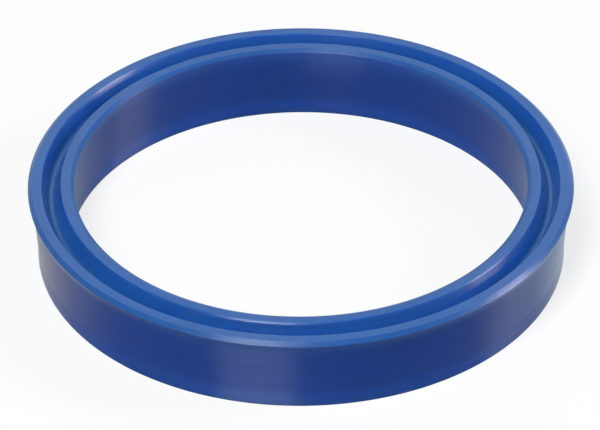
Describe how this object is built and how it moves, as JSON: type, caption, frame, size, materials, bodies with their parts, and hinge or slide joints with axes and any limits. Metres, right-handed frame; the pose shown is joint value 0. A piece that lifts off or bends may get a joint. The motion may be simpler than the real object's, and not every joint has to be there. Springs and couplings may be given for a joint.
{
  "type": "rod seal",
  "caption": "Ring-shaped hydraulic lip seal with a square heel, flared inner and outer lips with bevelled tips, and a round-bottomed groove between the lips.",
  "frame": {"origin": "on the ring's axis, in the plane of the flat heel face", "axes": "+Z along the ring's axis, from the heel towards the lips"},
  "size_m": [0.0822, 0.0822, 0.0125],
  "materials": {
    "polyurethane": "satin blue cast polyurethane, turned surfaces"
  },
  "bodies": {
    "root": {"rod_seal": "polyurethane"}
  },
  "joints": []
}
